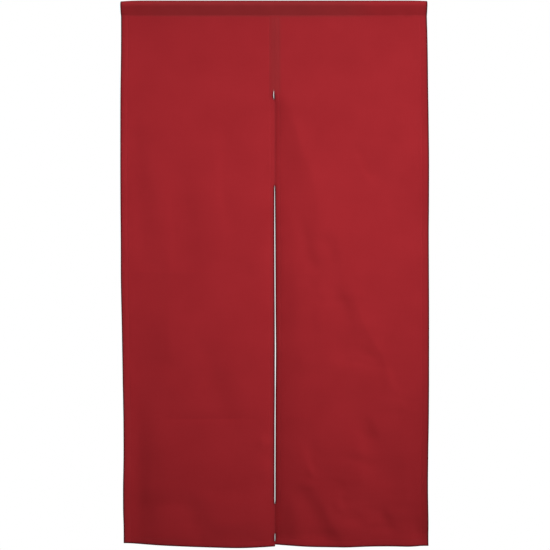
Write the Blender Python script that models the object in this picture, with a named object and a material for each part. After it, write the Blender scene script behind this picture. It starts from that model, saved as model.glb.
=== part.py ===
"""Doorway curtain of two plain cloth panels, sewn together at the top and open below.

The origin is the middle of the top edge, where the curtain hangs. +X is the
viewer's right, +Z is up, and the front of the cloth faces -Y. Tables are in
millimetres, and "drop" is a distance down from the top edge.
"""

import math

import bmesh
import bpy
import numpy as np

MM = 0.001

# Cloth and sewing
CLOTH = 1.0             # one layer
HEM_CLOTH = 2.0         # where an edge is turned to the back
SIDE_HEM = 21.0         # width of the outer side hems
BOTTOM_HEM = 20.0       # height of the bottom hem
SLIT_HEM = 15.0         # seam allowance, which goes on as the hem of the slit
HEM_STEP = 1.5          # width over which a hem's step falls away
PANEL_WIDTH = 424.0     # usual width of a hemmed panel
SEWING_GAP = 0.3        # between pieces that are sewn to each other

# Rod pocket
POCKET_DROP = 41.3      # top edge to stitch line
POCKET_RADIUS = 12.5    # round top of the pocket, outside
POCKET_BASE = 1.1       # half thickness where front and back are stitched together
CHANNEL_DROP = 38.0     # lowest point of the open channel
CHANNEL_BASE = 0.6      # half width of the channel there
ARC_POINTS = 11         # around the round top

SEAM_X = 0.3            # the centre seam, next to the middle
SEAM_END = 246.0        # drop at which the seam ends and the slit begins
COLUMN = 19.0           # largest width of a panel's facets
ROW = 38.0              # largest height of a panel's facets

# Heading: the pocket's open ends
HEADING_END = 423.3     # distance from the middle
HEADING_SAG = {"left": 2.6, "right": 1.4}
SAG_REACH = 60.0        # length of pocket that sags at each end

# Side edges by drop: distance of each outer edge from the middle
SIDE_EDGES = (
    # drop, left, right
    (41, 422.6, 422.9),
    (110, 422.6, 424.6),
    (275, 424.2, 426.8),
    (420, 424.5, 428.4),
    (550, 424.1, 428.3),
    (664, 423.0, 427.9),
    (763, 422.7, 428.5),
    (883, 420.5, 429.1),
    (1012, 418.1, 429.0),
    (1062, 417.1, 429.0),
    (1112, 415.7, 428.6),
    (1161, 414.8, 428.2),
    (1261, 414.5, 426.6),
    (1350, 415.8, 425.9),
    (1410, 415.8, 426.8),
    (1460, 414.6, 428.0),
    (1510, 414.3, 427.8),
)

# Bottom edges from the left corner to the right one
HEM_LINE = {
    # x, drop
    "left": (
        (-415, 1499.1), (-362, 1502.3), (-280, 1506.3), (-169, 1511.1), (-86, 1513.3),
        (-31, 1511.6), (3, 1510.1),
    ),
    "right": (
        (3, 1507.6), (51, 1507.9), (107, 1510.3), (190, 1511.2), (273, 1508.1),
        (330, 1507.6), (383, 1508.7), (427, 1508.8),
    ),
}

# The slit by drop: its middle, and the width of the gap
SLIT = (
    # drop, middle, width
    (SEAM_END, SEAM_X, SEWING_GAP),
    (252, -0.3, 1.5),
    (266, -0.6, 1.7),
    (284, 3.2, 0.4),
    (502, 3.2, 0.4),
    (514, 2.2, 1.0),
    (530, 2.2, 1.4),
    (641, 2.6, 2.3),
    (790, 3.2, 2.5),
    (870, 3.6, 2.3),
    (966, 4.2, 3.0),
    (1006, 4.0, 3.0),
    (1095, 3.6, 2.2),
    (1160, 3.3, 2.5),
    (1300, 3.0, 2.2),
    (1384, 2.9, 2.0),
    (1402, 2.9, 0.4),
    (1468, 2.9, 0.4),
    (1480, 3.0, 1.4),
    (1495, 3.0, 1.3),
    (1502, 3.0, 0.4),
    (1515, 3.0, 0.4),
)

# How the cloth hangs. Depths are towards the back, so less than zero is forward
SLIT_CURL = (
    # drop, then depth and reach of the left edge, and of the right edge
    (41, -0.9, 18, 1.2, 28),
    (228, -0.9, 18, 1.2, 28),
    (246, -0.9, 18, 1.2, 28),
    (300, 1.5, 45, 8.5, 56),
    (370, 3.0, 60, 11.0, 70),
    (450, 3.0, 62, 12.5, 86),
    (520, 3.0, 64, 12.5, 92),
    (600, 3.2, 65, 11.0, 80),
    (720, 4.5, 62, 10.0, 64),
    (830, 2.5, 60, 10.5, 66),
    (940, 2.0, 60, 9.5, 78),
    (1080, 4.0, 66, 12.0, 92),
    (1230, 6.0, 76, 12.0, 90),
    (1340, 5.0, 72, 13.0, 78),
    (1510, 3.5, 60, 17.0, 88),
)
SIDE_CURL = (
    # drop, left edge, right edge
    (41, -2.6, -2.0),
    (960, -2.6, -2.0),
    (1010, -2.8, -2.0),
    (1120, -6.0, -2.4),
    (1250, -9.5, -3.0),
    (1510, -9.0, -1.0),
)
SIDE_REACH = {"left": 52.0, "right": 40.0}
HEM_CURL = {"left": 2.6, "right": -5.0}
HEM_REACH = {"left": 110.0, "right": 36.0}
PLANE = {"left": 0.9, "right": -1.2}          # the right half hangs a little ahead of the left
PLANE_EASE = 60.0                             # drop over which it gets there
SWING = {"left": -6.0, "right": 3.0}          # at the bottom
FOLD_EASE = 230.0                             # drop over which the folds grow from the heading

# Folds that turn the cloth, each along a path down the cloth: a positive tilt turns it to
# the right, a negative one to the left. Smaller ones than these are left out here.
LEANS = (
    # path of (x, drop), half width, tilt
    (((-385, 221), (-372, 346), (-349, 525), (-336, 747)), 20, -0.065),
    (((-280, 400), (-275, 760)), 24, 0.03),
    (((-336, 800), (-341, 1120)), 40, -0.045),
    (((-378, 520), (-352, 960)), 45, 0.035),
    (((-231, 470), (-214, 650), (-192, 770)), 30, -0.055),
    (((-148, 310), (-153, 442), (-150, 553), (-128, 650), (-126, 710)), 13, 0.09),
    (((-186, 915), (-161, 1009), (-131, 1092), (-106, 1170)), 15, -0.08),
    (((-205, 1000), (-170, 1170)), 50, 0.035),
    (((-150, 1100), (-110, 1370)), 60, 0.03),
    (((-300, 1000), (-270, 1060), (-235, 1110)), 14, 0.08),
    (((-363, 1110), (-355, 1231), (-356, 1355), (-345, 1438), (-325, 1560)), 23, -0.16),
    (((-315, 1180), (-310, 1540)), 42, -0.06),
    (((-385, 1390), (-375, 1620)), 48, -0.13),
    (((-228, 1345), (-203, 1415), (-186, 1490)), 34, -0.17),
    (((-280, 1320), (-258, 1397), (-247, 1480)), 15, 0.07),
    (((40, 535), (57, 614), (71, 690)), 13, 0.10),
    (((90, 650), (145, 755), (180, 850)), 28, -0.08),
    (((160, 640), (177, 730), (198, 810)), 14, -0.1),
    (((100, 735), (120, 802), (146, 860)), 14, -0.09),
    (((173, 760), (193, 816), (209, 855), (220, 899), (223, 955)), 11, -0.12),
    (((60, 330), (88, 553), (101, 664), (118, 790)), 26, -0.04),
    (((78, 1010), (105, 1085)), 26, -0.08),
    (((330, -40), (330, 330)), 45, 0.07),
    (((253, 380), (289, 505)), 36, -0.035),
    (((310, 330), (340, 640)), 50, -0.03),
    (((385, 380), (395, 640)), 30, -0.04),
    (((290, 640), (330, 760)), 30, -0.04),
    (((157, 530), (204, 672)), 34, 0.035),
    (((140, 900), (165, 960), (200, 1036)), 20, 0.08),
    (((270, 850), (305, 985)), 18, 0.06),
    (((300, 830), (330, 940)), 22, 0.06),
    (((250, 960), (290, 1040), (330, 1130)), 24, 0.05),
    (((150, 1030), (190, 1120), (220, 1200)), 30, 0.05),
    (((248, 1132), (273, 1184), (298, 1236)), 12, -0.13),
    (((205, 1100), (236, 1250), (250, 1400)), 30, 0.10),
    (((173, 1310), (212, 1372)), 12, -0.08),
    (((64, 1310), (98, 1370), (125, 1425), (150, 1475), (195, 1560)), 29, -0.16),
    (((32, 1430), (45, 1590)), 16, -0.14),
    (((228, 1402), (251, 1462)), 14, -0.13),
    (((300, 1390), (317, 1432), (336, 1480)), 13, -0.18),
    (((364, 1225), (350, 1327), (342, 1430)), 19, -0.09),
    (((386, 1430), (398, 1580)), 24, 0.2),
)

# Ridges with a crest along their path
RIDGES = (
    # path of (x, drop), half width, height
    (((28, 262), (74, 393), (107, 490), (124, 590), (132, 700)), 30, 1.9),
    (((198, 740), (226, 830), (260, 918), (300, 985), (334, 1073), (372, 1160)), 21, 1.9),
    (((-298, 560), (-290, 750), (-289, 913), (-272, 1040), (-236, 1120)), 24, 1.3),
)
CREST_ROUND = 5.0

# Colour and finish of the cotton
COLOURS = {
    # linear red, green, blue
    "panel": (0.332, 0.0185, 0.0252),
    "heading": (0.290, 0.0165, 0.0225),
}
ROUGHNESS = 0.85


def smooth(share):
    """Soft ramp from 0 to 1."""
    share = np.clip(share, 0.0, 1.0)
    return share * share * (3.0 - 2.0 * share)


def curve_through(points, at):
    """Value at a position on the smooth curve through (position, value) points."""
    spots, values = np.array(points, dtype=float).T
    slopes = np.gradient(values, spots)
    at = np.clip(at, spots[0], spots[-1])
    k = np.clip(np.searchsorted(spots, at) - 1, 0, len(spots) - 2)
    span = spots[k + 1] - spots[k]
    t = (at - spots[k]) / span
    ends = values[k] * (1 + 2 * t) * (1 - t) ** 2 + values[k + 1] * t * t * (3 - 2 * t)
    return ends + span * t * (1 - t) * (slopes[k] * (1 - t) - slopes[k + 1] * t)


def side_edge(side, drop):
    """Place of the outer edge of a panel."""
    column = {"left": 1, "right": 2}[side]
    reach = curve_through([(row[0], row[column]) for row in SIDE_EDGES], drop)
    return -reach if side == "left" else reach


def slit_middle(drop):
    return np.interp(drop, [row[0] for row in SLIT], [row[1] for row in SLIT])


def slit_edge(side, drop):
    """Place of the inner edge of a panel, beside the seam and then the slit."""
    gap = np.interp(drop, [row[0] for row in SLIT], [row[2] for row in SLIT])
    return slit_middle(drop) + (-0.5 if side == "left" else 0.5) * gap


def curl(distance, depth, reach):
    """How far an edge bends out of the cloth's plane."""
    near = np.clip(1.0 - distance / reach, 0.0, 1.0)
    return depth * near * near


def eased(table, column, drop):
    """Value of a table's column, smooth from row to row."""
    return curve_through([(row[0], row[column]) for row in table], drop)


def along_path(path, x, drop):
    """How much a fold shows along its path, and how far each place is aside from it."""
    start, end = path[0][1], path[-1][1]
    fade = 0.35 * (end - start)
    shown = smooth((drop - start) / fade) * smooth((end - drop) / fade)
    return shown, x - curve_through([(spot[1], spot[0]) for spot in path], drop)


def fold_depth(x, drop):
    """Sum of the folds, towards the back."""
    depth = np.zeros_like(x)
    for path, half, tilt in LEANS:
        shown, aside = along_path(path, x, drop)
        turned = tilt * half * np.tanh(aside / half)
        depth += shown * turned * np.exp(-0.5 * (aside / (4.0 * half)) ** 2)
    for path, half, height in RIDGES:
        shown, aside = along_path(path, x, drop)
        depth -= shown * height * np.exp(-(np.hypot(aside, CREST_ROUND) - CREST_ROUND) / half)
    return depth


def drape(side, x, drop, hem_drop):
    """Place of the cloth's front surface across the room, towards the back."""
    left = side == "left"
    from_slit, from_side = np.abs(x - slit_edge(side, drop)), np.abs(side_edge(side, drop) - x)
    down = (drop - POCKET_DROP) / (hem_drop - POCKET_DROP)
    depth = fold_depth(x, drop)
    depth += curl(from_side, eased(SIDE_CURL, 1 if left else 2, drop), SIDE_REACH[side])
    depth += curl(hem_drop - drop, HEM_CURL[side], HEM_REACH[side])
    depth += SWING[side] * down ** 1.5
    slit_depth, slit_reach = (1, 2) if left else (3, 4)
    plane = PLANE[side]
    plane += curl(from_slit, eased(SLIT_CURL, slit_depth, drop), eased(SLIT_CURL, slit_reach, drop))
    below = drop - POCKET_DROP
    return depth * smooth(below / FOLD_EASE) + plane * smooth(below / PLANE_EASE) - POCKET_BASE


def stations(start, end, hem_at_start, hem_at_end, step):
    """Lines of a panel's facets along one direction, with a line each side of a hem's step."""
    first = [start, start + hem_at_start, start + hem_at_start + HEM_STEP] if hem_at_start else [start]
    last = [end - hem_at_end - HEM_STEP, end - hem_at_end, end]
    count = math.ceil((last[0] - first[-1]) / step)
    return np.array(first[:-1] + list(np.linspace(first[-1], last[0], count + 1)) + last[1:])


def material(name, colour):
    cotton = bpy.data.materials.new(name)
    cotton.use_nodes = True
    shader = cotton.node_tree.nodes["Principled BSDF"]
    shader.inputs["Base Color"].default_value = (*colour, 1.0)
    shader.inputs["Roughness"].default_value = ROUGHNESS
    shader.inputs["Metallic"].default_value = 0.0
    return cotton


def add_object(name, bm, colour):
    """Make the finished mesh a named object with its own cotton."""
    bmesh.ops.recalc_face_normals(bm, faces=bm.faces[:])
    mesh = bpy.data.meshes.new(name)
    bm.to_mesh(mesh)
    bm.free()
    mesh.materials.append(material(name + "_cotton", colour))
    mesh.shade_smooth()
    mesh.set_sharp_from_angle(angle=math.radians(35))
    bpy.context.scene.collection.objects.link(bpy.data.objects.new(name, mesh))


def panel(side):
    """One cloth from under the heading to its bottom hem, thicker where it is hemmed."""
    top = POCKET_DROP + SEWING_GAP
    outer_first = side == "left"
    hems = (SIDE_HEM, SLIT_HEM) if outer_first else (SLIT_HEM, SIDE_HEM)
    across = stations(0.0, PANEL_WIDTH, *hems, COLUMN)
    down = stations(top, HEM_LINE[side][-1][1], 0.0, BOTTOM_HEM, ROW)

    bm = bmesh.new()
    bmesh.ops.create_grid(bm, x_segments=len(across) - 1, y_segments=len(down) - 1, size=1.0)
    front = bm.verts[:]
    column = np.array([round((v.co.x + 1) / 2 * (len(across) - 1)) for v in front])
    row = np.array([round((1 - v.co.y) / 2 * (len(down) - 1)) for v in front])

    # The hem line is curved, so each column's drops are stretched to end on it
    edges = (side_edge, slit_edge) if outer_first else (slit_edge, side_edge)
    share = across[column] / PANEL_WIDTH
    hem_x = edges[0](side, down[-1]) * (1 - share) + edges[1](side, down[-1]) * share
    hem_drop = curve_through(HEM_LINE[side], hem_x)
    drop = top + (down[row] - top) * (hem_drop - top) / (down[-1] - top)
    x = edges[0](side, drop) * (1 - share) + edges[1](side, drop) * share
    y = drape(side, x, drop, hem_drop)
    for v, place in zip(front, np.stack([x, y, -drop], axis=1)):
        v.co = place * MM
    bmesh.ops.triangulate(bm, faces=bm.faces[:], quad_method="ALTERNATE")

    hemmed = (row >= len(down) - 2) | (column <= 1) | (column >= len(across) - 2)
    layer = np.where(hemmed, HEM_CLOTH, CLOTH)
    layer[row == 0] = CLOTH
    made = bmesh.ops.extrude_face_region(bm, geom=bm.faces[:])["geom"]
    back = [v for v in made if isinstance(v, bmesh.types.BMVert)]
    thickness = {tuple(v.co): t for v, t in zip(front, layer)}
    for v in back:
        v.co.y += thickness[tuple(v.co)] * MM
    add_object("panel_" + side, bm, COLOURS["panel"])


def pocket_outline(radius, base, base_drop):
    """Section of the pocket: a round top with straight flanks down to its base."""
    lean = math.asin((radius - base) / (base_drop - POCKET_RADIUS))
    turns = np.linspace(-lean, math.pi + lean, ARC_POINTS)
    round_top = [(radius * math.cos(t), radius * math.sin(t) - POCKET_RADIUS) for t in turns]
    return round_top + [(-base, -base_drop), (base, -base_drop)]


def heading(side):
    """One half of the rod pocket: an open-ended sleeve with its foot stitched flat."""
    sign = -1 if side == "left" else 1
    inner = sign * SEAM_X + SEWING_GAP / 2
    sag_start = HEADING_END - SAG_REACH
    spans = [*np.linspace(HEADING_END, sag_start, 4), *np.linspace(sag_start, inner, 5)[1:]]

    bm = bmesh.new()
    rings = []
    outline = pocket_outline(POCKET_RADIUS, POCKET_BASE, POCKET_DROP)
    channel = pocket_outline(POCKET_RADIUS - CLOTH, CHANNEL_BASE, CHANNEL_DROP)
    for ring in (outline, channel):
        verts = [bm.verts.new((sign * HEADING_END * MM, y * MM, z * MM)) for y, z in ring]
        rings += [bm.edges.new(pair) for pair in zip(verts, verts[1:] + verts[:1])]
    cap = bmesh.ops.bridge_loops(bm, edges=rings)["faces"]
    for before, after in zip(spans, spans[1:]):
        rim = {edge for face in cap for edge in face.edges}
        made = bmesh.ops.extrude_face_region(bm, geom=cap + list(rim))["geom"]
        cap = [f for f in made if isinstance(f, bmesh.types.BMFace)]
        moved = [v for v in made if isinstance(v, bmesh.types.BMVert)]
        bmesh.ops.translate(bm, verts=moved, vec=(sign * (after - before) * MM, 0, 0))

    # The open end sags a little, the stitch line stays level
    for v in bm.verts:
        near_end = 1 - (HEADING_END - sign * v.co.x / MM) / SAG_REACH
        height = 1 + v.co.z / (POCKET_DROP * MM)
        v.co.z -= HEADING_SAG[side] * MM * max(near_end, 0.0) ** 2 * height
    bmesh.ops.triangulate(bm, faces=bm.faces[:])
    add_object("heading_" + side, bm, COLOURS["heading"])


for leftover in list(bpy.data.objects):
    bpy.data.objects.remove(leftover, do_unlink=True)

for side in ("left", "right"):
    panel(side)
    heading(side)
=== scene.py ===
import math

import bmesh
import bpy
import numpy as np
from mathutils import Matrix, Vector, noise


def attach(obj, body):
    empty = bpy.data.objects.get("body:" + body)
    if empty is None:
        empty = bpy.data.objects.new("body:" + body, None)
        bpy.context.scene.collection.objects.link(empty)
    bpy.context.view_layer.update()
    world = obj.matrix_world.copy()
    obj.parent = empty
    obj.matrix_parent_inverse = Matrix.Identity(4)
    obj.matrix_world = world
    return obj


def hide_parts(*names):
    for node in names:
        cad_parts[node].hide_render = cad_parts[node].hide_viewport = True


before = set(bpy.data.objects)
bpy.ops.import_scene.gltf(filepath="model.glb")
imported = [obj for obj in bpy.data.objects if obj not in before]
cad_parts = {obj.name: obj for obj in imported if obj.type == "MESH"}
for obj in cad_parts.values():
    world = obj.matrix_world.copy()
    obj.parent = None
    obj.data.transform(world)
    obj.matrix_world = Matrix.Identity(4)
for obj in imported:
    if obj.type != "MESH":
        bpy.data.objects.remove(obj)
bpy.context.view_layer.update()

mm = 0.001
print("frame loaded:", ", ".join(sorted(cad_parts)))

# Sizes are in millimetres, and in metres for the studio and the camera. "drop" is a distance
# down from the top edge, and x runs to the viewer's right from the middle of the curtain.

# The cloth and its sewing
cloth = {
    "thickness": 0.38,      # one layer of plain cotton
    "ply": 0.5,             # from one layer to the next where they are folded on each other
    "sideHem": 21.0,
    "bottomHem": 20.0,
    "slitHem": 15.0,        # seam allowance, which goes on down as the hem of the slit
    "tuckedIn": 7.0,        # raw edge turned under inside the hems
    "cornerEase": 14.0,     # over which a hem's thickness fades into the hem that it meets
    "fromFold": 2.0,        # from a hem's inner fold to its stitches
}

# The rod pocket, folded to the back and stitched down
pocket = {
    "drop": 41.3,           # top edge to stitch line
    "radius": 12.5,         # round top, outside
    "base": 1.1,            # how far the front stands forward at the stitch line
    "flapBelow": 2.2,       # the flap's folded edge lies this far below the stitches
    "tuckedIn": 9.0,
    "sag": {"left": 2.6, "right": 1.4},
    "end": 423.3,           # distance of the open ends from the middle
    "sagReach": 60.0,
    "ripple": 0.55,         # uneven fullness of the pocket's walls
    "rippleWaves": (        # along the walls: length / tau, strength, shift
        (23.0, 1.0, 0.0), (9.1, 0.6, 1.0), (61.0, 0.5, 0.0),
    ),
}

# Where the edges hang
outline = {
    "side": (
        # drop, left, right, both from the middle
        (41, 422.6, 422.9),
        (110, 422.6, 424.6),
        (275, 424.2, 426.8),
        (420, 424.5, 428.4),
        (550, 424.1, 428.3),
        (664, 423.0, 427.9),
        (763, 422.7, 428.5),
        (883, 420.5, 429.1),
        (1012, 418.1, 429.0),
        (1062, 417.1, 429.0),
        (1112, 415.7, 428.6),
        (1161, 414.8, 428.2),
        (1261, 414.5, 426.6),
        (1350, 415.8, 425.9),
        (1410, 415.8, 426.8),
        (1460, 414.6, 428.0),
        (1510, 414.3, 427.8),
    ),
    "hemLine": {
        # x, drop
        "left": (
            (-415, 1499.1), (-362, 1502.3), (-280, 1506.3), (-169, 1511.1), (-86, 1513.3),
            (-31, 1511.6), (3, 1510.1),
        ),
        "right": (
            (3, 1507.6), (51, 1507.9), (107, 1510.3), (190, 1511.2), (273, 1508.1),
            (330, 1507.6), (383, 1508.7), (427, 1508.8),
        ),
    },
    "slit": (
        # drop, middle, width of the gap; below zero the left edge lies over the right one
        (0, 0.3, -0.4),
        (246, 0.3, -0.4),
        (252, -0.3, 1.5),
        (266, -0.6, 1.7),
        (284, 3.2, -1.2),
        (502, 3.2, -1.2),
        (514, 2.2, 1.0),
        (530, 2.2, 1.4),
        (641, 2.6, 2.3),
        (790, 3.2, 2.5),
        (870, 3.6, 2.3),
        (966, 4.2, 3.0),
        (1006, 4.0, 3.0),
        (1095, 3.6, 2.2),
        (1160, 3.3, 2.5),
        (1300, 3.0, 2.2),
        (1384, 2.9, 2.0),
        (1402, 2.9, -1.0),
        (1468, 2.9, -1.0),
        (1480, 3.0, 1.4),
        (1495, 3.0, 1.3),
        (1502, 3.0, -0.6),
        (1515, 3.0, -0.6),
    ),
    "easeAbove": 8.0,       # the sides leave the pocket's ends this far above its stitches
    "easeOver": 12.0,       # and reach their own line over this much
    "usualHem": 1508.0,     # the bottom edge, where one drop does for all of it
}

# Painted shade: the dye is darkened at the pocket and beside the seam, where a second layer close behind lets
# less light through
shade = {
    "pocketEnd": 38.0,      # the pocket's shade fades from this drop
    "pocketEase": 14.0,
    "pocket": (             # x and how dark
        (-420, 0.24), (-300, 0.68), (60, 0.9), (200, 0.7), (290, 0.22), (420, 0.17),
    ),
    "seam": 0.55,           # how dark beside the seam
    "seamMiddle": 4.0,
    "seamReach": 9.0,       # to each side of its middle
    "seamEase": 11.0,
    "seamEnd": 246.0,
    "seamFade": 16.0,
}

# Painted shade: the dye is darkened to a dark outline along the free folded edges and the top edge
paintedEdgeShade = {
    "reach": 6.4,           # in from the sides, the slit and the bottom edge
    "top": 6.0,             # down from the top edge
    "lapped": 0.25,         # how much of it is left where the slit's edges lie on each other
}

# How the cloth hangs away from flat. Depths are towards the back, so less than zero is forward
hang = {
    "slitCurl": (
        # drop, then depth and reach of the left edge, and of the right edge
        (41, -0.9, 18, 1.2, 28),
        (228, -0.9, 18, 1.2, 28),
        (246, -0.9, 18, 1.2, 28),
        (300, 1.5, 45, 8.5, 56),
        (370, 3.0, 60, 11.0, 70),
        (450, 3.0, 62, 12.5, 86),
        (520, 3.0, 64, 12.5, 92),
        (600, 3.2, 65, 11.0, 80),
        (720, 4.5, 62, 10.0, 64),
        (830, 2.5, 60, 10.5, 66),
        (940, 2.0, 60, 9.5, 78),
        (1080, 4.0, 66, 12.0, 92),
        (1230, 6.0, 76, 12.0, 90),
        (1340, 5.0, 72, 13.0, 78),
        (1510, 3.5, 60, 17.0, 88),
    ),
    "sideCurl": (
        # drop, left edge, right edge
        (41, -2.6, -2.0),
        (960, -2.6, -2.0),
        (1010, -2.8, -2.0),
        (1120, -6.0, -2.4),
        (1250, -9.5, -3.0),
        (1510, -9.0, -1.0),
    ),
    "sideReach": {"left": 52.0, "right": 40.0},
    "hemCurl": {"left": 2.6, "right": -5.0},
    "hemReach": {"left": 110.0, "right": 36.0},
    "plane": {"left": 0.9, "right": -1.2},    # the right half hangs a little ahead of the left
    "planeEase": 60.0,                        # drop over which it gets there
    "swing": {"left": -6.0, "right": 3.0},    # at the bottom
    "swingBend": 1.5,
    "foldEase": 230.0,                        # drop over which the folds grow from the heading
    "stitchEase": 6.0,                        # drop over which the side stitches begin to pull
    "unevenness": 0.7,
    "unevenWidth": 80.0,
    "unevenHeight": 120.0,
    "unevenSlice": 0.7,                       # another slice of the noise is another cloth
    "unevenNoise": (1.0, 2.0, 3),             # octaves: how fast they weaken, their step, their number
}

# Soft folds. Leans and ridges lie along a path down the cloth and fade at both of its ends
folds = {
    "endFade": 0.35,        # share of its path over which a fold comes, and goes
    "leanReturn": 4.0,      # half widths over which the cloth beside a lean comes back
    "crestRound": 5.0,      # a ridge's crest is rounded over about this much to each side
    "creaseFade": 60.0,     # width over which a level crease comes, and goes
    # Stretches that turn the cloth: a positive tilt turns it to the right, a negative one
    # to the left
    "leans": (
        # path of (x, drop), half width, tilt
        # left half
        (((-385, 221), (-372, 346), (-349, 525), (-336, 747)), 20, -0.065),
        (((-344, 650), (-333, 760)), 13, -0.06),
        (((-291, 442), (-287, 700)), 11, 0.06),
        (((-280, 400), (-275, 760)), 24, 0.03),
        (((-336, 800), (-341, 1120)), 40, -0.045),
        (((-231, 470), (-214, 650), (-192, 770)), 30, -0.055),
        (((-148, 310), (-153, 442), (-150, 553), (-128, 650), (-126, 710)), 13, 0.09),
        (((-186, 915), (-161, 1009), (-131, 1092), (-106, 1170)), 15, -0.08),
        (((-125, 1010), (-98, 1110)), 12, -0.06),
        (((-203, 945), (-186, 1040)), 12, 0.055),
        (((-363, 1110), (-355, 1231), (-356, 1355), (-345, 1438), (-325, 1560)), 23, -0.16),
        (((-315, 1180), (-310, 1540)), 42, -0.06),
        (((-385, 1390), (-375, 1620)), 48, -0.13),
        (((-228, 1345), (-203, 1415), (-186, 1490)), 34, -0.17),
        (((-150, 1100), (-110, 1370)), 60, 0.03),
        (((-300, 1000), (-270, 1060), (-235, 1110)), 14, 0.08),
        (((-80, 1050), (-60, 1190)), 26, 0.04),
        (((-14, 430), (-14, 530)), 8, -0.08),
        (((-378, 520), (-352, 960)), 45, 0.035),
        (((-205, 1000), (-170, 1170)), 50, 0.035),
        (((-280, 1320), (-258, 1397), (-247, 1480)), 15, 0.07),
        # right half
        (((40, 535), (57, 614), (71, 690)), 13, 0.10),
        (((82, 575), (96, 650), (104, 691), (121, 760)), 10, -0.10),
        (((157, 640), (176, 715)), 13, -0.06),
        (((90, 650), (145, 755), (180, 850)), 28, -0.08),
        (((160, 640), (177, 730), (198, 810)), 14, -0.1),
        (((173, 760), (193, 816), (209, 855), (220, 899), (223, 955)), 11, -0.12),
        (((234, 705), (242, 774), (242, 840)), 8, 0.07),
        (((245, 945), (276, 992)), 9, -0.05),
        (((292, 1015), (317, 1112)), 8, -0.08),
        (((270, 850), (305, 985)), 18, 0.06),
        (((92, 790), (112, 870)), 22, -0.06),
        (((100, 735), (120, 802), (146, 860)), 14, -0.09),
        (((72, 960), (104, 1140)), 28, -0.06),
        (((60, 330), (88, 553), (101, 664), (118, 790)), 26, -0.04),
        (((262, 815), (272, 870)), 16, -0.06),
        (((52, 690), (60, 850), (66, 1000)), 28, -0.08),
        (((237, 985), (262, 1012)), 12, -0.05),
        (((60, 1210), (68, 1320), (110, 1385), (150, 1420)), 22, -0.04),
        (((295, 1360), (325, 1450)), 24, -0.09),
        (((311, 1000), (334, 1086)), 9, 0.10),
        (((226, 402), (242, 462), (276, 516)), 9, 0.09),
        (((253, 380), (289, 505)), 36, -0.035),
        (((157, 530), (204, 672)), 34, 0.035),
        (((118, 820), (123, 960)), 11, -0.06),
        (((140, 900), (165, 960), (200, 1036)), 20, 0.08),
        (((248, 1132), (273, 1184), (298, 1236)), 12, -0.13),
        (((82, 1210), (96, 1272), (126, 1334)), 9, 0.14),
        (((107, 1188), (126, 1265)), 10, -0.08),
        (((79, 1284), (110, 1332)), 9, -0.08),
        (((173, 1310), (212, 1372)), 12, -0.08),
        (((179, 1366), (201, 1426)), 9, 0.11),
        (((90, 1310), (112, 1383), (133, 1424), (164, 1480), (204, 1560)), 22, -0.22),
        (((228, 1402), (251, 1462)), 14, -0.13),
        (((300, 1390), (317, 1432), (336, 1480)), 13, -0.18),
        (((364, 1225), (350, 1327), (342, 1430)), 19, -0.09),
        (((345, 1094), (372, 1140)), 12, 0.07),
        (((205, 1100), (236, 1250), (250, 1400)), 30, 0.10),
        (((238, 1180), (246, 1226), (246, 1270)), 14, 0.14),
        (((242, 1260), (252, 1300), (256, 1350)), 16, 0.11),
        (((250, 960), (290, 1040), (330, 1130)), 24, 0.05),
        (((150, 1030), (190, 1120), (220, 1200)), 30, 0.05),
        (((386, 1430), (398, 1580)), 24, 0.2),
        (((30, 1350), (44, 1438), (50, 1560)), 22, -0.14),
        (((300, 830), (330, 940)), 22, 0.06),
        (((310, 330), (340, 640)), 50, -0.03),
        (((330, -40), (330, 330)), 45, 0.07),
        (((385, 380), (395, 640)), 30, -0.04),
        (((290, 640), (330, 760)), 30, -0.04),
        (((22, 320), (23, 520)), 10, 0.08),
        (((24, 550), (30, 690)), 10, 0.07),
        (((384, 1410), (394, 1600)), 18, 0.16),
    ),
    # Ridges along a path
    "ridges": (
        # path of (x, drop), half width, height
        (((28, 262), (74, 393), (107, 490), (124, 590), (132, 700)), 30, 1.9),
        (((198, 740), (226, 830), (260, 918), (300, 985), (334, 1073), (372, 1160)), 21, 1.9),
        (((-298, 560), (-290, 750), (-289, 913), (-272, 1040), (-236, 1120)), 24, 1.3),
    ),
    # Round or oval buckles, forward, or back where the height is negative
    "buckles": (
        # x, drop, half width, half height, height
        (242, 1250, 20, 15, 3.0),
        (246, 1314, 26, 20, 3.4),
        (96, 1340, 20, 9, 2.0),
        (162, 1402, 9, 9, -1.4),
        (-31, 1222, 15, 14, 3.4),
        (-31, 1294, 17, 17, 3.2),
        (-203, 1487, 10, 9, -1.6),
        (336, 1461, 32, 19, -3.4),
        (228, 1433, 26, 12, -1.8),
        (120, 1486, 44, 13, -2.6),
        (-45, 1496, 22, 11, -2.4),
        (-245, 1404, 130, 72, 4.0),
    ),
    # Level creases left by the way the curtain was folded in its packet
    "creases": (
        # from x, to x, drop, half height, height
        (-415, -110, 752, 4.5, 0.8),
        (-330, -20, 1157, 8.0, -1.9),
        (10, 125, 1154, 5.0, 1.0),
        (20, 190, 756, 5.0, 0.4),
    ),
}


def smooth(share):
    share = np.clip(share, 0.0, 1.0)
    return share * share * (3.0 - 2.0 * share)


# Value at a position on the smooth curve through (position, value) points
def curveThrough(points, at):
    spots, values = np.array(points, dtype=float).T
    slopes = np.gradient(values, spots)
    at = np.clip(at, spots[0], spots[-1])
    k = np.clip(np.searchsorted(spots, at) - 1, 0, len(spots) - 2)
    span = spots[k + 1] - spots[k]
    t = (at - spots[k]) / span
    ends = values[k] * (1 + 2 * t) * (1 - t) ** 2 + values[k + 1] * t * t * (3 - 2 * t)
    return ends + span * t * (1 - t) * (slopes[k] * (1 - t) - slopes[k + 1] * t)


# Value at a drop in the numbered column of a table whose rows start with their drop,
# straight from row to row, or eased
def straight(table, number, drop):
    return np.interp(drop, [row[0] for row in table], [row[number] for row in table])


def eased(table, number, drop):
    return curveThrough([(row[0], row[number]) for row in table], drop)


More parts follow.
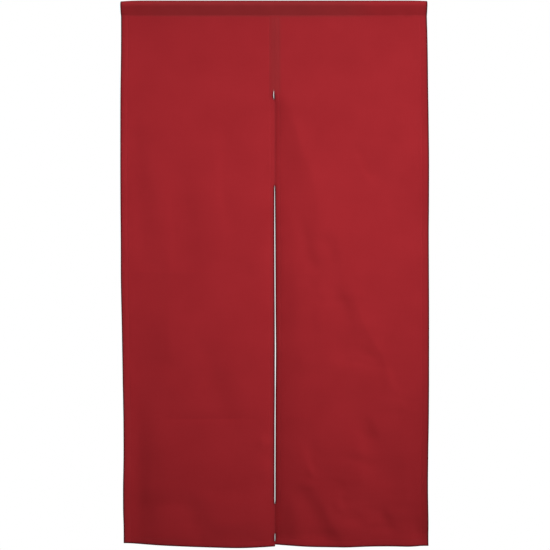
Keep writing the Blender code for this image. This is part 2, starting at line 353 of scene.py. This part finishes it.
def sideEdge(side, drop):
    reach = eased(outline["side"], 1 if side == "left" else 2, drop)
    own = smooth((drop - pocket["drop"] + outline["easeAbove"]) / outline["easeOver"])
    reach = pocket["end"] + (reach - pocket["end"]) * own
    return -reach if side == "left" else reach


def slitEdge(side, drop):
    middle, gap = straight(outline["slit"], 1, drop), straight(outline["slit"], 2, drop)
    return middle + (-0.5 if side == "left" else 0.5) * gap


def curl(distance, depth, reach):
    near = np.clip(1.0 - distance / reach, 0.0, 1.0)
    return depth * near * near


# Waves of (length / tau, strength, shift) laid over each other
def waves(table, along):
    return sum(strength * np.sin(along / length + shift) for length, strength, shift in table)


# How much a fold shows along its path, and how far each place is aside from it
def alongPath(path, x, drop):
    start, end = path[0][1], path[-1][1]
    fade = folds["endFade"] * (end - start)
    shown = smooth((drop - start) / fade) * smooth((end - drop) / fade)
    return shown, x - curveThrough([(spot[1], spot[0]) for spot in path], drop)


def foldDepth(x, drop):
    depth = np.zeros_like(x)
    crest = folds["crestRound"]
    for path, half, tilt in folds["leans"]:
        shown, aside = alongPath(path, x, drop)
        comesBack = np.exp(-0.5 * (aside / (folds["leanReturn"] * half)) ** 2)
        depth += shown * tilt * half * np.tanh(aside / half) * comesBack
    for path, half, height in folds["ridges"]:
        shown, aside = alongPath(path, x, drop)
        depth -= shown * height * np.exp(-(np.hypot(aside, crest) - crest) / half)
    for atX, atDrop, halfWidth, halfHeight, height in folds["buckles"]:
        away = ((x - atX) / halfWidth) ** 2 + ((drop - atDrop) / halfHeight) ** 2
        depth -= height * np.exp(-0.5 * away)
    for fromX, toX, level, half, height in folds["creases"]:
        shown = smooth((x - fromX) / folds["creaseFade"]) * smooth((toX - x) / folds["creaseFade"])
        depth -= shown * height / (1.0 + ((drop - level) / half) ** 2)
    return depth


def unevenDepth(x, drop):
    spots = zip(np.ravel(x) / hang["unevenWidth"], np.ravel(drop) / hang["unevenHeight"])
    depths = [noise.fractal((a, b, hang["unevenSlice"]), *hang["unevenNoise"]) for a, b in spots]
    return hang["unevenness"] * np.array(depths).reshape(np.shape(x))


# The thread draws the cloth in along each line of stitches, and puckers it beside them
pull = {
    "depth": 0.30,
    "width": 1.1,
    "pucker": 0.05,
    "puckerWidth": 6.0,
    "puckerWaves": (        # along the stitches: length / tau, strength, shift
        (2.6, 1.0, 0.0), (4.1, 0.7, 1.0), (9.7, 0.5, 0.0),
    ),
}


def stitchPull(fromLine, along):
    drawnIn = pull["depth"] * np.exp(-(fromLine / pull["width"]) ** 2)
    beside = np.exp(-(fromLine / pull["puckerWidth"]) ** 2)
    return drawnIn + pull["pucker"] * waves(pull["puckerWaves"], along) * beside


# Place of the cloth's front face, towards the back of the room
def drape(side, x, drop, hemDrop):
    left = side == "left"
    fromSlit, fromSide = np.abs(x - slitEdge(side, drop)), np.abs(sideEdge(side, drop) - x)
    slit, below = hang["slitCurl"], drop - pocket["drop"]
    depth = foldDepth(x, drop) + unevenDepth(x, drop)
    depth += curl(fromSide, eased(hang["sideCurl"], 1 if left else 2, drop), hang["sideReach"][side])
    depth += curl(hemDrop - drop, hang["hemCurl"][side], hang["hemReach"][side])
    depth += hang["swing"][side] * np.clip(below / (hemDrop - pocket["drop"]), 0.0, 1.1) ** hang["swingBend"]
    plane = hang["plane"][side]
    plane += curl(fromSlit, eased(slit, 1 if left else 3, drop), eased(slit, 2 if left else 4, drop))
    depth = depth * smooth(below / hang["foldEase"])
    depth += plane * smooth(below / hang["planeEase"])
    stitched = smooth(below / hang["stitchEase"])
    for fromEdge, hem in ((fromSlit, cloth["slitHem"]), (fromSide, cloth["sideHem"])):
        depth += stitched * stitchPull(fromEdge - hem + cloth["fromFold"], drop)
    depth += stitchPull(hemDrop - drop - cloth["bottomHem"] + cloth["fromFold"], x)
    return depth + stitchPull(below, x) * stitched - pocket["base"]


# A rolled hem, step by step: 0 to 1 turns the cloth to the back, 1 to 2 is the flap,
# 2 to 3 turns its edge in, 3 to 4 is the raw edge tucked inside. flap and tuck are how far
# those layers lie behind the front. Gives the inset from the folded edge and the depth,
# then the direction of the inside of the fold for both.
def rolledHem(step, hem, tuckedIn, flap, tuck):
    outer, inner = flap / 2, (flap - tuck) / 2
    if step <= 1:
        turn = math.pi * step
        inset, depth = outer * (1 - math.sin(turn)), outer * (1 - math.cos(turn))
        return inset, depth, math.sin(turn), math.cos(turn)
    if step <= 2:
        return outer + (hem - inner - outer) * (step - 1), flap, 0.0, -1.0
    if step <= 3:
        turn = math.pi * (step - 2)
        inset = hem - inner + inner * math.sin(turn)
        return inset, (flap + tuck) / 2 + inner * math.cos(turn), -math.sin(turn), -math.cos(turn)
    return hem - inner - tuckedIn * (step - 3), tuck, 0.0, 1.0


# The rod pocket, step by step from the stitches: 0 to 1 is the front wall, 1 to 2 the round
# top, 2 to 3 the back wall, 3 to 4 turns its edge in, 4 to 5 is the raw edge inside.
# Gives drop and depth, then the direction of the inside of the pocket for both.
def pocketFold(step, flap, tuck):
    half = cloth["thickness"] / 2
    centre, radius = pocket["base"] - half, pocket["radius"] - half
    rise = pocket["drop"] - pocket["radius"]
    lean = math.asin((radius - centre) / rise)
    backLean = np.arcsin((radius - (flap - centre)) / rise)
    inner = (flap - tuck) / 2
    foot = pocket["drop"] + pocket["flapBelow"] - inner
    if step <= 1:
        drop = pocket["drop"] + (pocket["radius"] + radius * math.sin(lean) - pocket["drop"]) * step
        depth = (centre - radius * math.cos(lean)) * step
        return drop, depth, -math.sin(lean), math.cos(lean)
    if step <= 2:
        turn = -lean + (math.pi + lean + backLean) * (step - 1)
        drop = pocket["radius"] - radius * np.sin(turn)
        return drop, centre - radius * np.cos(turn), np.sin(turn), np.cos(turn)
    if step <= 3:
        topDrop = pocket["radius"] + radius * np.sin(backLean)
        topDepth = centre + radius * np.cos(backLean)
        drop = topDrop + (foot - topDrop) * (step - 2)
        return drop, topDepth + (flap - topDepth) * (step - 2), -np.sin(backLean), -np.cos(backLean)
    if step <= 4:
        turn = math.pi * (step - 3)
        drop, depth = foot + inner * math.sin(turn), (flap + tuck) / 2 + inner * math.cos(turn)
        return drop, depth, -math.sin(turn), -math.cos(turn)
    return foot - pocket["tuckedIn"] * (step - 4), tuck, 0.0, 1.0


# How much painted shade darkens the dye, 0 to 1, at the pocket and beside the seam
def shadeAt(x, drop):
    behind = 1 - smooth((drop - shade["pocketEnd"]) / shade["pocketEase"])
    behind *= np.interp(x, *zip(*shade["pocket"]))
    besideSeam = 1 - smooth((np.abs(x - shade["seamMiddle"]) - shade["seamReach"]) / shade["seamEase"])
    seam = shade["seam"] * besideSeam * (1 - smooth((drop - shade["seamEnd"]) / shade["seamFade"]))
    return np.maximum(behind, seam)


# How much painted shade darkens the dye near a free folded edge, 1 on the edge itself
def paintedEdgeShadeAt(side, x, drop, hemDrop):
    free = smooth((drop - shade["seamEnd"]) / shade["seamFade"])
    apart = paintedEdgeShade["lapped"] + (1 - paintedEdgeShade["lapped"]) * smooth(straight(outline["slit"], 2, drop))
    edges = [
        1 - smooth(np.abs(sideEdge(side, drop) - x) / paintedEdgeShade["reach"]),
        free * apart * (1 - smooth(np.abs(x - slitEdge(side, drop)) / paintedEdgeShade["reach"])),
        1 - smooth((hemDrop - drop) / paintedEdgeShade["reach"]),
        1 - smooth(drop / paintedEdgeShade["top"]),
    ]
    return np.maximum.reduce(edges)


# Lines of the cloth's grid
grid = {
    "hemFold": (6, 4, 4, 2),            # lines in each stretch of a rolled hem
    "slitFold": (6, 3),
    "pocketFold": (9, 14, 9, 4, 2),
    "frontAcross": 78,
    "frontDown": 318,
    "besideStitches": (-2.6, -1.2, 0.0, 1.2, 2.6),
    "besideEdges": (1.5, 3.0, 4.5),
    "apart": 2.0,                       # from these lines to the next of the even ones
    "belowPocket": 3.8,                 # close lines stand here too, under the flap's edge
    "measuredAt": 700.0,                # drop where the hems' places across are measured
}


# Steps through the stretches of a fold: 0 to 1 in the first, 1 to 2 in the second, and so on
def foldSteps(counts):
    return [0.0] + [first + k / count for first, count in enumerate(counts) for k in range(1, count + 1)]


# Even shares of a length, with a few lines set close together where stitches run
def sharesWithStitches(count, length, places, edges):
    even = [k / count for k in range(1, count)]
    close = [(place + beside) / length for place in places for beside in grid["besideStitches"]]
    close += [abs(edge - beside) / length for edge in edges for beside in grid["besideEdges"]]
    apart = [share for share in even if min(abs(share - c) for c in close) * length > grid["apart"]]
    return sorted(apart + close)


# Each line is (zone, step through its fold), or on the front (zone, share of its length)
def acrossLines():
    places = (cloth["sideHem"] - cloth["fromFold"], pocket["end"] - cloth["slitHem"] + cloth["fromFold"])
    front = sharesWithStitches(grid["frontAcross"], pocket["end"], places, (0, pocket["end"]))
    side, slit = foldSteps(grid["hemFold"]), foldSteps(grid["slitFold"])
    return [("side", s) for s in side[::-1]] + [("front", s) for s in front] + [("slit", s) for s in slit]


def downLines():
    length = outline["usualHem"] - pocket["drop"]
    places = (grid["belowPocket"], length - cloth["bottomHem"] + cloth["fromFold"])
    front = sharesWithStitches(grid["frontDown"], length, places, (length,))
    heading, hem = foldSteps(grid["pocketFold"]), foldSteps(grid["hemFold"])
    return [("pocket", s) for s in heading[::-1]] + [("front", s) for s in front] + [("hem", s) for s in hem]


# Length of cloth between neighbouring lines, for the pattern and the size of the cut
def cutPlaces(points):
    return np.concatenate([[0.0], np.cumsum(np.linalg.norm(np.diff(points, axis=0), axis=1))])


def clothHalf(side):
    across, down = acrossLines(), downLines()
    ply, mid = cloth["ply"], cloth["thickness"] / 2
    sign = -1 if side == "left" else 1

    # Across: how far each line is in from its edge, its depth in the folded hem, and its
    # share of the front
    placed = []
    for zone, step in across:
        if zone == "side":
            placed.append((*rolledHem(step, cloth["sideHem"], cloth["tuckedIn"], 2 * ply, ply)[:2], 0.0))
        elif zone == "slit":
            placed.append((*rolledHem(step, cloth["slitHem"], 0.0, ply, ply)[:2], 0.0))
        else:
            placed.append((0.0, 0.0, step))
    inset, hemDepth, share = np.array(placed).T
    zones = np.array([zone for zone, step in across])
    nearSide, nearSlit = ply, ply / 2       # how far the front stays inside the folded edges

    def placeAcross(drop):
        outer, inner = sideEdge(side, drop), slitEdge(side, drop)
        front = outer - sign * nearSide + (inner + sign * nearSlit - outer + sign * nearSide) * share
        rest = np.where(zones == "slit", inner + sign * inset, front)
        return np.where(zones == "side", outer - sign * inset, rest)

    # Hems are thicker where they cross, so the fold over them is rounder there
    level = grid["measuredAt"]
    usual = placeAcross(np.full(len(across), level))
    fromSide = np.abs(usual - sideEdge(side, level))
    fromSlit = np.abs(usual - slitEdge(side, level))
    ease = cloth["cornerEase"]
    stack = 2 * ply * (1 - smooth((fromSide - cloth["sideHem"]) / ease))
    stack += ply * (1 - smooth((fromSlit - cloth["slitHem"]) / ease))
    flap, tuck = 3 * stack + 2 * ply, stack + ply

    hemX = placeAcross(np.full(len(across), outline["usualHem"]))
    hemDrop = curveThrough(outline["hemLine"][side], hemX)
    rows = []
    for zone, step in down:
        if zone == "pocket":
            drop, depth, inDrop, inDepth = pocketFold(step, flap, tuck)
        elif zone == "hem":
            up, depth, inUp, inDepth = rolledHem(step, cloth["bottomHem"], cloth["tuckedIn"], flap, tuck)
            drop, inDrop = hemDrop - up, -inUp
        else:
            drop = pocket["drop"] + (hemDrop - flap / 2 - pocket["drop"]) * step
            depth, inDrop, inDepth = 0.0, 0.0, 1.0
        drop, depth = drop + inDrop * hemDepth, depth + inDepth * hemDepth
        x = placeAcross(drop)
        if zone == "pocket":
            nearEnd = np.clip(1 - (pocket["end"] - sign * x) / pocket["sagReach"], 0.0, 1.0)
            high = np.clip(1 - drop / pocket["drop"], 0.0, 1.0)
            full = pocket["ripple"] * np.sin(math.pi * high) * (1 if step < 2 else -1)
            depth = depth + full * waves(pocket["rippleWaves"], x)
            y = drape(side, x, np.full_like(x, pocket["drop"]), hemDrop) + mid + depth
            drop = drop + pocket["sag"][side] * nearEnd ** 2 * high
        else:
            y = drape(side, x, drop, hemDrop) + mid + depth
        rows.append(np.stack([x, y, -drop * np.ones_like(x)], axis=1))
    places = np.array(rows)
    shades = [shadeAt(row[:, 0], -row[:, 2]) for row in places]
    # painted shade along the folded edges, for each row
    creases = [paintedEdgeShadeAt(side, row[:, 0], -row[:, 2], hemDrop) for row in places]

    bm = bmesh.new()
    bmesh.ops.create_grid(bm, x_segments=len(across) - 1, y_segments=len(down) - 1, size=1.0)
    columns = [round((v.co.x + 1) / 2 * (len(across) - 1)) for v in bm.verts]
    lines = [round((1 - v.co.y) / 2 * (len(down) - 1)) for v in bm.verts]
    uCut = cutPlaces(places[len(down) // 2])
    vCut = cutPlaces(places[:, len(across) // 2])
    cutLayer = bm.loops.layers.uv.new("cut")
    shadeLayer = bm.verts.layers.float.new("shade")
    # painted shade along the folded edges
    paintedEdgeShadeLayer = bm.verts.layers.float.new("paintedEdgeShade")
    for v, i, j in zip(bm.verts, lines, columns):
        v.co = Vector(places[i, j] * mm)
        v[shadeLayer] = shades[i][j]
        v[paintedEdgeShadeLayer] = creases[i][j]
        for loop in v.link_loops:
            loop[cutLayer].uv = (uCut[j] * mm, -vCut[i] * mm)
    if side == "right":
        bmesh.ops.reverse_faces(bm, faces=bm.faces[:])
    mesh = bpy.data.meshes.new("cotton_" + side)
    bm.to_mesh(mesh)
    bm.free()
    mesh.shade_smooth()
    piece = bpy.data.objects.new("cotton_" + side, mesh)
    bpy.context.scene.collection.objects.link(piece)
    thick = piece.modifiers.new("thickness", "SOLIDIFY")
    thick.thickness = cloth["thickness"] * mm
    thick.offset = 0.0
    return piece, (uCut[-1] * mm, vCut[-1] * mm)


# Sewing thread: lines of lock stitches, on the front and on the back
sewing = {
    "pitch": 3.0,
    "length": 2.3,
    "radius": 0.16,
    "belowPocket": 6.0,     # first stitch of the lines down the edges
    "aboveHem": 2.0,        # and their last
    "fromEnds": {"hem": 1.5, "pocket": 1.0},    # of the cloth, for the lines across it
    "hemLevel": 1490.0,     # usual drop of the stitches across the bottom hem
    "lowEnd": 1500.0,       # usual drop of the last stitches down the edges
    "pointsDown": 300,      # on the path of each line
    "pointsAcross": 120,
}


# One stitch, repeated by an array and bent along the points by a curve
def stitchRow(points):
    spline = bpy.data.curves.new("seam", "CURVE")
    spline.dimensions = "3D"
    line = spline.splines.new("POLY")
    line.points.add(len(points) - 1)
    line.points.foreach_set("co", np.column_stack([points * mm, np.ones(len(points))]).ravel())
    path = bpy.data.objects.new("seam", spline)

    bm = bmesh.new()
    half = sewing["length"] / 2
    size = Matrix.Diagonal((half, sewing["radius"], sewing["radius"], 1.0))
    place = Matrix.Scale(mm, 4) @ Matrix.Translation((sewing["pitch"] / 2, 0, 0)) @ size
    bmesh.ops.create_uvsphere(bm, u_segments=6, v_segments=4, radius=1.0,
                              matrix=place @ Matrix.Rotation(math.radians(90), 4, "Y"))
    mesh = bpy.data.meshes.new("stitch")
    bm.to_mesh(mesh)
    bm.free()
    row = bpy.data.objects.new("row", mesh)
    repeat = row.modifiers.new("repeat", "ARRAY")
    repeat.use_relative_offset = False
    repeat.use_constant_offset = True
    repeat.constant_offset_displace = (sewing["pitch"] * mm, 0.0, 0.0)
    repeat.count = int(cutPlaces(points)[-1] / sewing["pitch"])
    bend = row.modifiers.new("bend", "CURVE")
    bend.object = path
    for made in (path, row):
        bpy.context.scene.collection.objects.link(made)
    return row, path


def sewnLine(side, xs, drops, behind):
    hemDrop = curveThrough(outline["hemLine"][side], xs)
    y = drape(side, xs, np.maximum(drops, pocket["drop"]), hemDrop) + behind
    return np.stack([xs, y, -drops], axis=1)


def stitches(side):
    sign = -1 if side == "left" else 1
    lines = []

    def addLine(xs, drops, layersBehind):
        for behind in (0.0, layersBehind * cloth["ply"] + cloth["thickness"]):
            lines.append(sewnLine(side, xs, drops, behind))

    def downBeside(edge, hem, layers):
        hemDrop = curveThrough(outline["hemLine"][side], np.array([edge(side, sewing["lowEnd"])]))[0]
        first, last = pocket["drop"] + sewing["belowPocket"], hemDrop - sewing["aboveHem"]
        drops = np.linspace(first, last, sewing["pointsDown"])
        inward = -sign if edge is sideEdge else sign
        addLine(edge(side, drops) + inward * (hem - cloth["fromFold"]), drops, layers)

    def across(level, inset, dropsAt):
        ends = sideEdge(side, level) - sign * inset, slitEdge(side, level) + sign * inset
        xs = np.linspace(*ends, sewing["pointsAcross"])
        addLine(xs, dropsAt(xs), 2)

    def hemStitches(xs):
        return curveThrough(outline["hemLine"][side], xs) - cloth["bottomHem"] + cloth["fromFold"]

    downBeside(sideEdge, cloth["sideHem"], 2)
    downBeside(slitEdge, cloth["slitHem"], 1)
    across(sewing["hemLevel"], sewing["fromEnds"]["hem"], hemStitches)
    across(pocket["drop"], sewing["fromEnds"]["pocket"], lambda xs: np.full_like(xs, pocket["drop"]))

    rows = [stitchRow(points) for points in lines]
    depsgraph = bpy.context.evaluated_depsgraph_get()
    bm = bmesh.new()
    for row, path in rows:
        bent = bpy.data.meshes.new_from_object(row.evaluated_get(depsgraph))
        bm.from_mesh(bent)
        bpy.data.meshes.remove(bent)
    for row, path in rows:
        bpy.data.objects.remove(row)
        bpy.data.objects.remove(path)
    mesh = bpy.data.meshes.new("stitches_" + side)
    bm.to_mesh(mesh)
    bm.free()
    mesh.shade_smooth()
    piece = bpy.data.objects.new("stitches_" + side, mesh)
    bpy.context.scene.collection.objects.link(piece)
    return piece


# Materials
def colour(hexValue):
    channels = [int(hexValue[k:k + 2], 16) / 255 for k in (1, 3, 5)]
    return [c / 12.92 if c <= 0.04045 else ((c + 0.055) / 1.055) ** 2.4 for c in channels] + [1.0]


# Adds a node; inputs are values, or (node, output) to link from
def add(tree, kind, settings=None, inputs=None):
    node = tree.nodes.new("ShaderNode" + kind)
    for name, value in (settings or {}).items():
        setattr(node, name, value)
    for name, value in (inputs or {}).items():
        if isinstance(value, tuple) and len(value) == 2 and isinstance(value[0], bpy.types.Node):
            tree.links.new(value[0].outputs[value[1]], node.inputs[name])
        else:
            node.inputs[name].default_value = value
    return node


def newMaterial(name):
    material = bpy.data.materials.new(name)
    material.use_nodes = True
    material.node_tree.nodes.clear()
    return material, material.node_tree


cottonLook = {
    "dye": "#a3232a",
    "dyeDeep": "#9d2027",
    # painted shade: the colour the dye is mixed towards where the pocket and the seam are shaded
    "paintedShadeColour": "#92292c",
    # painted shade: the colour the dye is mixed towards along the folded edges
    "paintedEdgeShadeColour": "#430e14",
    "fuzz": "#f0c4c4",      # light caught by fibres that stand off the cloth
    "through": "#d8343c",
    "throughShare": 0.12,
    "threadMm": 0.5,        # one thread of the weave
    "slubWideMm": 2.6,      # uneven yarns, drawn wider than real ones so that they show
    "slubLongMm": 70.0,
    "cloudMm": 90.0,        # soft unevenness of the dye
    "yarnsInDye": 0.35,     # how much the yarns add to the clouds
    "dyeRange": (0.55, 1.15),
    "weaveInRelief": 0.12,  # how much the threads add to the uneven yarns
    "reliefMm": 0.12,
}


# Reactive-dyed plain-weave cotton: quite matt, a faint grain of uneven yarns, a slightly
# cloudy dye, and some light coming through one layer but hardly through two
def cottonMaterial():
    material, tree = newMaterial("dyed plain weave cotton")
    look = cottonLook
    wide, long = 1 / look["slubWideMm"], 1 / look["slubLongMm"]
    cut = add(tree, "UVMap", {"uv_map": "cut"})
    inMm = add(tree, "VectorMath", {"operation": "SCALE"}, {0: (cut, "UV"), "Scale": 1 / mm})
    slubs = []
    for stretch in ((wide, long, 1.0), (long, wide, 1.0)):
        yarn = add(tree, "VectorMath", {"operation": "MULTIPLY"}, {0: (inMm, "Vector"), 1: stretch})
        slubs.append(add(tree, "TexNoise", {"noise_dimensions": "2D"},
                         {"Vector": (yarn, "Vector"), "Scale": 1.0, "Detail": 2.0}))
    cloud = add(tree, "TexNoise", {"noise_dimensions": "2D"},
                {"Vector": (inMm, "Vector"), "Scale": 1 / look["cloudMm"], "Detail": 3.0})
    yarns = add(tree, "Math", {"operation": "ADD"}, {0: (slubs[0], "Fac"), 1: (slubs[1], "Fac")})
    mixed = add(tree, "Math", {"operation": "MULTIPLY_ADD"},
                {0: (yarns, "Value"), 1: look["yarnsInDye"], 2: (cloud, "Fac")})
    share = add(tree, "MapRange", {}, {
        "Value": (mixed, "Value"), "From Min": look["dyeRange"][0], "From Max": look["dyeRange"][1]})
    dye = add(tree, "Mix", {"data_type": "RGBA"},
              {0: (share, "Result"), 6: colour(look["dyeDeep"]), 7: colour(look["dye"])})
    # Painted shade mixed into the dye: at the pocket and beside the seam, and along the folded edges
    for attribute, darker in (("shade", "paintedShadeColour"), ("paintedEdgeShade", "paintedEdgeShadeColour")):
        where = add(tree, "Attribute", {"attribute_name": attribute})
        dye = add(tree, "Mix", {"data_type": "RGBA"},
                  {0: (where, "Fac"), 6: (dye, 2), 7: colour(look[darker])})

    # Threads over and under: two sines, one for each set of yarns
    split = add(tree, "SeparateXYZ", {}, {0: (inMm, "Vector")})
    sines = []
    for axis in ("X", "Y"):
        turn = add(tree, "Math", {"operation": "MULTIPLY"}, {0: (split, axis), 1: math.pi / look["threadMm"]})
        sines.append(add(tree, "Math", {"operation": "SINE"}, {0: (turn, "Value")}))
    over = add(tree, "Math", {"operation": "MULTIPLY"}, {0: (sines[0], "Value"), 1: (sines[1], "Value")})
    relief = add(tree, "Math", {"operation": "MULTIPLY_ADD"},
                 {0: (over, "Value"), 1: look["weaveInRelief"], 2: (yarns, "Value")})
    bump = add(tree, "Bump", {}, {
        "Height": (relief, "Value"), "Strength": 0.5, "Distance": look["reliefMm"] * mm})

    front = add(tree, "BsdfPrincipled", {}, {
        "Base Color": (dye, 2), "Roughness": 0.88, "IOR": 1.5, "Specular IOR Level": 0.15,
        "Sheen Weight": 0.16, "Sheen Roughness": 0.45, "Sheen Tint": colour(look["fuzz"]),
        "Normal": (bump, "Normal")})
    through = add(tree, "BsdfTranslucent", {}, {
        "Color": colour(look["through"]), "Normal": (bump, "Normal")})
    both = add(tree, "MixShader", {}, {0: look["throughShare"], 1: (front, 0), 2: (through, 0)})
    add(tree, "OutputMaterial", {}, {"Surface": (both, 0)})
    return material


threadLook = {
    "dye": "#98242d",
    "twistMm": 0.698,       # from one turn of its strands to the next
    "reliefMm": 0.04,
    "bandsPerUnit": 10 / math.tau,      # that a diagonal wave texture draws at a scale of one
}


# Spun polyester sewing thread, dyed to match: a little smoother and shinier than the cloth
def threadMaterial():
    material, tree = newMaterial("polyester sewing thread")
    look = threadLook
    scale = 1 / (look["twistMm"] * mm * look["bandsPerUnit"])
    place = add(tree, "TexCoord")
    twist = add(tree, "TexWave", {"bands_direction": "DIAGONAL"},
                {"Vector": (place, "Object"), "Scale": scale})
    bump = add(tree, "Bump", {}, {
        "Height": (twist, "Fac"), "Strength": 0.3, "Distance": look["reliefMm"] * mm})
    shader = add(tree, "BsdfPrincipled", {}, {
        "Base Color": colour(look["dye"]), "Roughness": 0.55, "IOR": 1.5, "Specular IOR Level": 0.35,
        "Normal": (bump, "Normal")})
    add(tree, "OutputMaterial", {}, {"Surface": (shader, 0)})
    return material


cotton, thread = cottonMaterial(), threadMaterial()
print("materials ready")
for side in ("left", "right"):
    piece, cut = clothHalf(side)
    piece.data.materials.append(cotton)
    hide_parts("panel_" + side, "heading_" + side)
    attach(piece, "root")
    sewn = stitches(side)
    sewn.data.materials.append(thread)
    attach(sewn, "root")
    print("cloth half", side, "cut", [round(size, 4) for size in cut], len(piece.data.polygons), "faces")


# Studio: white all round, a pale round floor below, and six lamps
studio = {
    "softBoxes": {
        # place, aim, width, height, spread in degrees, power in watts
        "key": ((2.6, -4.8, 0.0), (0.3, 0.0, -0.31), 1.2, 0.76, 30.9, 8.8),
        "fill": ((0.6, -3.0, 0.6), (-0.85, 0.0, -0.02), 0.8, 0.8, 24.0, 0.55),
        "left": ((0.6, -3.0, 0.6), (-0.78, 0.0, -0.75), 0.8, 0.8, 30.0, 0.4),
        "low": ((1.6, -3.4, -0.6), (0.2, 0.0, -1.06), 0.6, 0.3, 20.0, 0.15),
    },
    "farLights": {
        # direction that it comes from, softness in degrees, strength
        "above": ((0.9, -1.0, 2.0), 24.0, 1.9),
        "behind": ((-0.8, 1.4, 0.9), 40.0, 1.6),
    },
    "ambient": 0.03,
    "floorDrop": 2.0,
    "floorRadius": 1.3,
    "floorColour": "#f4f3f1",
    "white": (1.0, 1.0, 1.0, 1.0),
}


def addLight(name, lamp, place, aim):
    light = bpy.data.objects.new(name, lamp)
    light.location = place
    light.rotation_euler = (Vector(aim) - Vector(place)).to_track_quat("-Z", "Y").to_euler()
    light.visible_camera = False
    bpy.context.scene.collection.objects.link(light)


# A soft box with a grid that keeps its light together
def softBox(name, place, aim, width, height, spread, power):
    lamp = bpy.data.lights.new(name, "AREA")
    lamp.shape = "RECTANGLE"
    lamp.size = width
    lamp.size_y = height
    lamp.spread = math.radians(spread)
    lamp.energy = power
    addLight(name, lamp, place, aim)


# A large far light, even over the whole curtain
def farLight(name, place, softness, strength):
    lamp = bpy.data.lights.new(name, "SUN")
    lamp.angle = math.radians(softness)
    lamp.energy = strength
    addLight(name, lamp, place, (0.0, 0.0, 0.0))


for name, settings in studio["softBoxes"].items():
    softBox(name, *settings)
for name, settings in studio["farLights"].items():
    farLight(name, *settings)

world = bpy.data.worlds.new("white room")
world.use_nodes = True
world.node_tree.nodes.clear()
seen = add(world.node_tree, "LightPath")
white = add(world.node_tree, "Background", {}, {"Color": studio["white"], "Strength": 1.0})
dim = add(world.node_tree, "Background", {}, {"Color": studio["white"], "Strength": studio["ambient"]})
room = add(world.node_tree, "MixShader", {}, {0: (seen, "Is Camera Ray"), 1: (dim, 0), 2: (white, 0)})
add(world.node_tree, "OutputWorld", {}, {"Surface": (room, 0)})
bpy.context.scene.world = world

bm = bmesh.new()
bmesh.ops.create_circle(bm, cap_ends=True, segments=96, radius=studio["floorRadius"],
                        matrix=Matrix.Translation((0.0, 0.0, -studio["floorDrop"])))
floorMesh = bpy.data.meshes.new("floor")
bm.to_mesh(floorMesh)
bm.free()
floor = bpy.data.objects.new("floor", floorMesh)
bpy.context.scene.collection.objects.link(floor)
paint, tree = newMaterial("matt white floor")
shader = add(tree, "BsdfPrincipled", {}, {"Base Color": colour(studio["floorColour"]), "Roughness": 0.9})
add(tree, "OutputMaterial", {}, {"Surface": (shader, 0)})
floorMesh.materials.append(paint)

# The camera, level and straight ahead, looks at the middle of the photo's frame
view = {
    "distance": 3.5,
    "sensor": 36.0,
    "aimX": 0.0031,
    "aimZ": -0.759,
    "frameHeight": 1.521,       # what the frame's height shows at the curtain
}
lens = bpy.data.cameras.new("camera")
lens.sensor_width = view["sensor"]
lens.lens = view["sensor"] * view["distance"] / view["frameHeight"]
camera = bpy.data.objects.new("camera", lens)
camera.location = (view["aimX"], -view["distance"], view["aimZ"])
camera.rotation_euler = (math.radians(90), 0.0, 0.0)
bpy.context.scene.collection.objects.link(camera)
bpy.context.scene.camera = camera
bpy.context.scene.view_settings.view_transform = "Standard"
print("studio ready")
